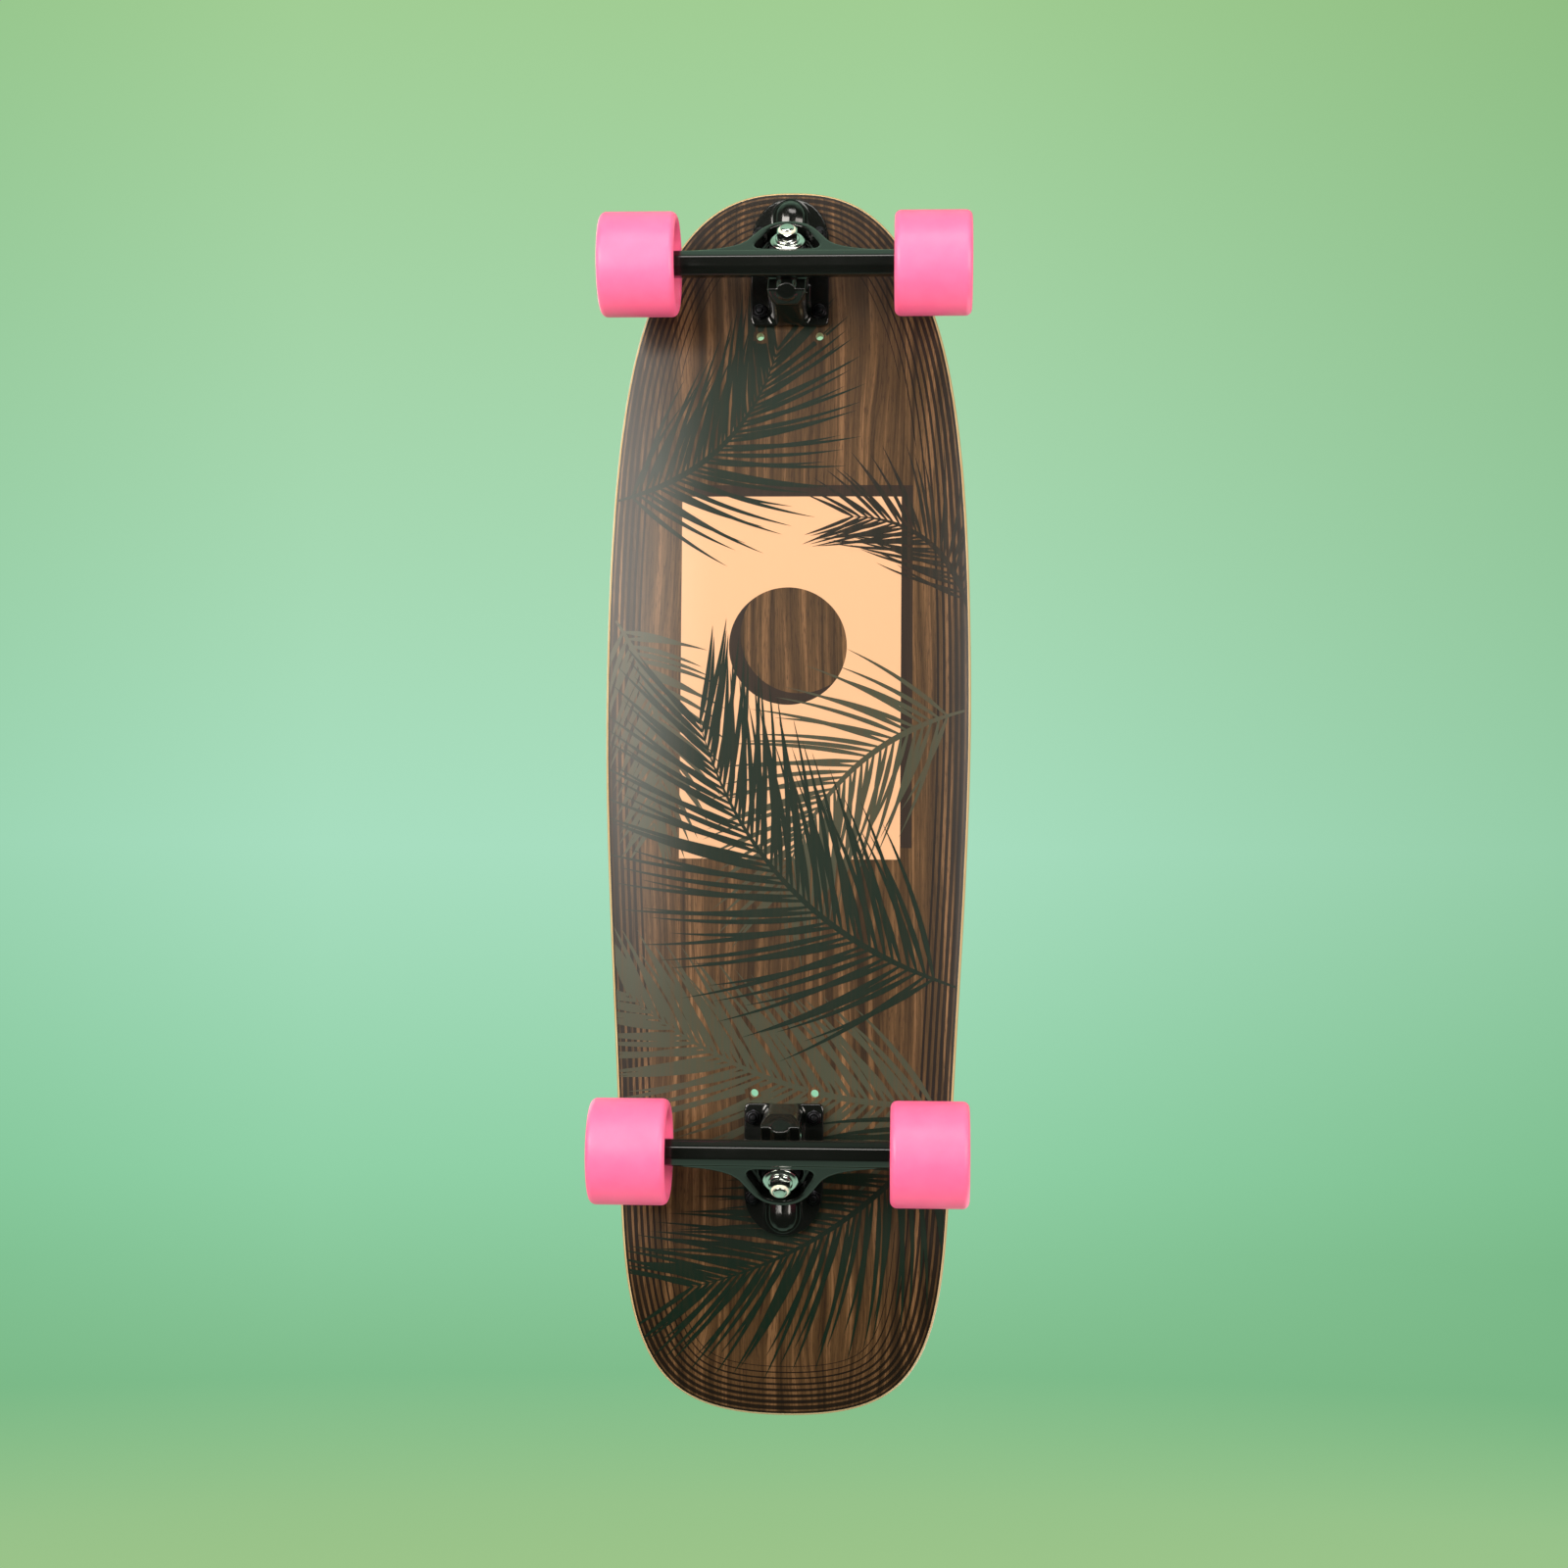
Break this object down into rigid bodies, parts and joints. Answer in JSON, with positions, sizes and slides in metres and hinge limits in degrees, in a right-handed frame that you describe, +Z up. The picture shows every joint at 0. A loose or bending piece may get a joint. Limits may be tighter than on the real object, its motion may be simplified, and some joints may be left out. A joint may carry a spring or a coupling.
{
  "type": "skateboard",
  "caption": "Cruiser skateboard with a maple deck, walnut underside, kicktail, reverse-kingpin trucks that steer by leaning, and wide pink urethane wheels.",
  "frame": {"origin": "on the ground, below the middle of the board's length and width, as it stands on its four wheels", "axes": "+X to the nose, +Y to the left of a rider who faces the nose, +Z up"},
  "size_m": [0.848, 0.253, 0.1364],
  "materials": {
    "maple_core": "satin lacquer on the edge",
    "walnut_veneer": "satin lacquer with printed decoration",
    "grip_tape": "coarse grit",
    "black_cast_aluminium": "gloss black powder coat",
    "zinc_steel": "bright zinc plate",
    "bearing_steel": "ground",
    "black_hardware": "black oxide",
    "black_urethane": "satin moulded",
    "pink_urethane": "satin moulded",
    "wheel_core": "moulded"
  },
  "bodies": {
    "deck": {"deck_core": "maple_core", "bottom_veneer": "walnut_veneer", "grip_tape": "grip_tape", "bolt_front_inner_left": "black_hardware", "lock_nut_front_inner_left": "black_hardware", "bolt_front_inner_right": "black_hardware", "lock_nut_front_inner_right": "black_hardware", "bolt_front_outer_left": "black_hardware", "lock_nut_front_outer_left": "black_hardware", "bolt_front_outer_right": "black_hardware", "lock_nut_front_outer_right": "black_hardware", "bolt_rear_inner_left": "black_hardware", "lock_nut_rear_inner_left": "black_hardware", "bolt_rear_inner_right": "black_hardware", "lock_nut_rear_inner_right": "black_hardware", "bolt_rear_outer_left": "black_hardware", "lock_nut_rear_outer_left": "black_hardware", "bolt_rear_outer_right": "black_hardware", "lock_nut_rear_outer_right": "black_hardware", "front_baseplate": "black_cast_aluminium", "front_pivot_cup": "black_urethane", "front_kingpin": "zinc_steel", "front_board_washer": "zinc_steel", "front_board_bushing": "black_urethane", "front_road_bushing": "black_urethane", "front_road_washer": "zinc_steel", "front_kingpin_nut": "zinc_steel", "rear_baseplate": "black_cast_aluminium", "rear_pivot_cup": "black_urethane", "rear_kingpin": "zinc_steel", "rear_board_washer": "zinc_steel", "rear_board_bushing": "black_urethane", "rear_road_bushing": "black_urethane", "rear_road_washer": "zinc_steel", "rear_kingpin_nut": "zinc_steel"},
    "front_truck_hanger": {"front_hanger": "black_cast_aluminium", "front_axle": "bearing_steel", "front_left_axle_nut": "zinc_steel", "front_right_axle_nut": "zinc_steel"},
    "front_left_wheel": {"front_left_wheel_tyre": "pink_urethane", "front_left_wheel_core": "wheel_core", "front_left_inner_bearing": "bearing_steel", "front_left_outer_bearing": "bearing_steel"},
    "front_right_wheel": {"front_right_wheel_tyre": "pink_urethane", "front_right_wheel_core": "wheel_core", "front_right_inner_bearing": "bearing_steel", "front_right_outer_bearing": "bearing_steel"},
    "rear_truck_hanger": {"rear_hanger": "black_cast_aluminium", "rear_axle": "bearing_steel", "rear_left_axle_nut": "zinc_steel", "rear_right_axle_nut": "zinc_steel"},
    "rear_left_wheel": {"rear_left_wheel_tyre": "pink_urethane", "rear_left_wheel_core": "wheel_core", "rear_left_inner_bearing": "bearing_steel", "rear_left_outer_bearing": "bearing_steel"},
    "rear_right_wheel": {"rear_right_wheel_tyre": "pink_urethane", "rear_right_wheel_core": "wheel_core", "rear_right_inner_bearing": "bearing_steel", "rear_right_outer_bearing": "bearing_steel"}
  },
  "joints": [
    {"name": "front_truck_steer", "type": "hinge", "parent": "deck", "child": "front_truck_hanger", "pos_m": [0.364, 0, 0.0645], "axis": [0.7071, 0, 0.7071], "range_deg": [-16, 16], "stiffness_Nm_per_rad": 50, "deforming": ["front_board_bushing", "front_road_bushing"]},
    {"name": "front_left_wheel_spin", "type": "hinge", "parent": "front_truck_hanger", "child": "front_left_wheel", "pos_m": [0.3575, 0.099, 0.035], "axis": [0, 1, 0], "continuous": true},
    {"name": "front_right_wheel_spin", "type": "hinge", "parent": "front_truck_hanger", "child": "front_right_wheel", "pos_m": [0.3575, -0.099, 0.035], "axis": [0, 1, 0], "continuous": true},
    {"name": "rear_truck_steer", "type": "hinge", "parent": "deck", "child": "rear_truck_hanger", "pos_m": [-0.243, 0, 0.0645], "axis": [-0.7071, 0, 0.7071], "range_deg": [-16, 16], "stiffness_Nm_per_rad": 50, "deforming": ["rear_board_bushing", "rear_road_bushing"]},
    {"name": "rear_left_wheel_spin", "type": "hinge", "parent": "rear_truck_hanger", "child": "rear_left_wheel", "pos_m": [-0.2365, 0.099, 0.035], "axis": [0, 1, 0], "continuous": true},
    {"name": "rear_right_wheel_spin", "type": "hinge", "parent": "rear_truck_hanger", "child": "rear_right_wheel", "pos_m": [-0.2365, -0.099, 0.035], "axis": [0, 1, 0], "continuous": true}
  ]
}
